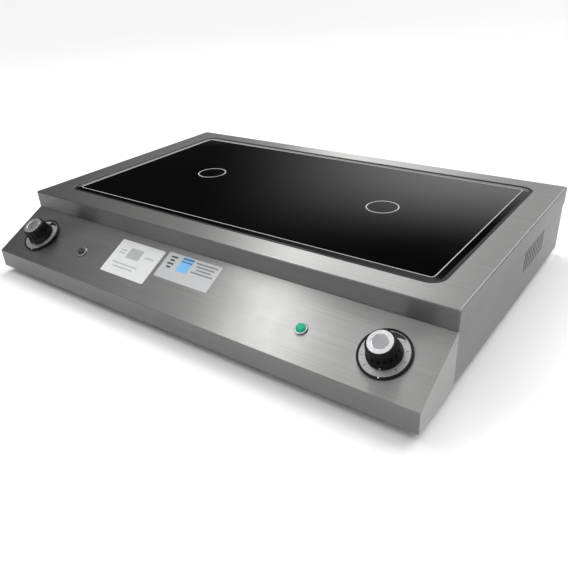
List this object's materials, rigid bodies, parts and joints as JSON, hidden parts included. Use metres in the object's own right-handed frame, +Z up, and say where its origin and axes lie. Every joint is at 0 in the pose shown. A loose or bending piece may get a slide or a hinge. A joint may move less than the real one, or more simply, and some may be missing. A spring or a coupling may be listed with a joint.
{
  "type": "two-zone table-top induction hob",
  "caption": "Wide table-top induction hob in folded stainless steel: a flush black glass plate and a sloping front console with rotary knobs, pilot lamps and labels.",
  "frame": {"origin": "middle of the hob's outline, on the plane that its feet stand on", "axes": "+X to the cook's right along the console, +Y from the cook to the back, +Z up"},
  "size_m": [0.725, 0.5, 0.11],
  "materials": {
    "steel": "brushed along its length",
    "steel_inner": "mill finish",
    "glass_black": "opaque black glass-ceramic, polished",
    "silicone_black": "matt black silicone",
    "rubber_black": "matt",
    "copper": "enamelled litz copper",
    "carrier": "moulded, heat resistant",
    "ferrite": "sintered",
    "mica": "pressed mica sheet",
    "silicone_red": "soft silicone",
    "sensor": "white ceramic",
    "board": "solder mask",
    "aluminium": "extruded",
    "device": "moulded epoxy",
    "capacitor": "moulded case",
    "fan_plastic": "glass-filled plastic",
    "nylon": "natural nylon",
    "core": "coated ring core",
    "gland_plastic": "polyamide",
    "brass": "turned",
    "zinc": "zinc plated",
    "grip_black": "satin black",
    "cap_silver": "spun, clear lacquered",
    "dial_silver": "satin",
    "rim_black": "gloss black",
    "lens_green": "translucent, lit",
    "lens_dark": "translucent, unlit",
    "lamp_metal": "polished",
    "label_white": "satin film",
    "label_silver": "printed foil"
  },
  "bodies": {
    "housing": {"base_plate": "steel_inner", "board_standoffs": "nylon", "bonding_stud": "brass", "bottom_screws": "zinc", "cable_gland": "gland_plastic", "capacitors_left": "capacitor", "capacitors_right": "capacitor", "coil_buffers_left": "silicone_red", "coil_buffers_right": "silicone_red", "coil_carrier_left": "carrier", "coil_carrier_right": "carrier", "coil_ferrites_left": "ferrite", "coil_ferrites_right": "ferrite", "coil_rail_front": "steel_inner", "coil_rail_rear": "steel_inner", "coil_winding_left": "copper", "coil_winding_right": "copper", "console_panel": "steel", "deck_frame": "steel", "dial_bezel_left": "rim_black", "dial_bezel_right": "rim_black", "dial_ring_left": "dial_silver", "dial_ring_right": "dial_silver", "fan_frame_left": "fan_plastic", "fan_frame_right": "fan_plastic", "feet": "rubber_black", "filter_board": "board", "filter_choke": "core", "glass_ledge": "steel_inner", "glass_seal": "silicone_black", "glass_sensor_left": "sensor", "glass_sensor_right": "sensor", "glass_top": "glass_black", "heat_sink_left": "aluminium", "heat_sink_right": "aluminium", "label_info": "label_silver", "label_notice": "label_white", "lamp_housings": "lamp_metal", "lamp_lens_left": "lens_dark", "lamp_lens_right": "lens_green", "mica_disc_left": "mica", "mica_disc_right": "mica", "potentiometer_left": "device", "potentiometer_right": "device", "power_board_left": "board", "power_board_right": "board", "rear_panel": "steel", "side_panel_left": "steel", "side_panel_right": "steel", "terminal_block": "nylon", "transistors_left": "device", "transistors_right": "device"},
    "knob_left": {"knob_grip_left": "grip_black", "knob_cap_left": "cap_silver", "pot_shaft_left": "zinc"},
    "knob_right": {"knob_grip_right": "grip_black", "knob_cap_right": "cap_silver", "pot_shaft_right": "zinc"},
    "fan_wheel_left": {"fan_rotor_left": "fan_plastic"},
    "fan_wheel_right": {"fan_rotor_right": "fan_plastic"}
  },
  "joints": [
    {"name": "knob_left_turn", "type": "hinge", "parent": "housing", "child": "knob_left", "pos_m": [-0.302, -0.20852, 0.05992], "axis": [0, 0.4671, -0.8842], "range_deg": [0, 270]},
    {"name": "knob_right_turn", "type": "hinge", "parent": "housing", "child": "knob_right", "pos_m": [0.302, -0.20852, 0.05992], "axis": [0, 0.4671, -0.8842], "range_deg": [0, 270]},
    {"name": "fan_left_spin", "type": "hinge", "parent": "housing", "child": "fan_wheel_left", "pos_m": [-0.163, -0.1395, 0.0525], "axis": [0, 1, 0], "continuous": true},
    {"name": "fan_right_spin", "type": "hinge", "parent": "housing", "child": "fan_wheel_right", "pos_m": [0.163, -0.1395, 0.0525], "axis": [0, 1, 0], "continuous": true}
  ]
}
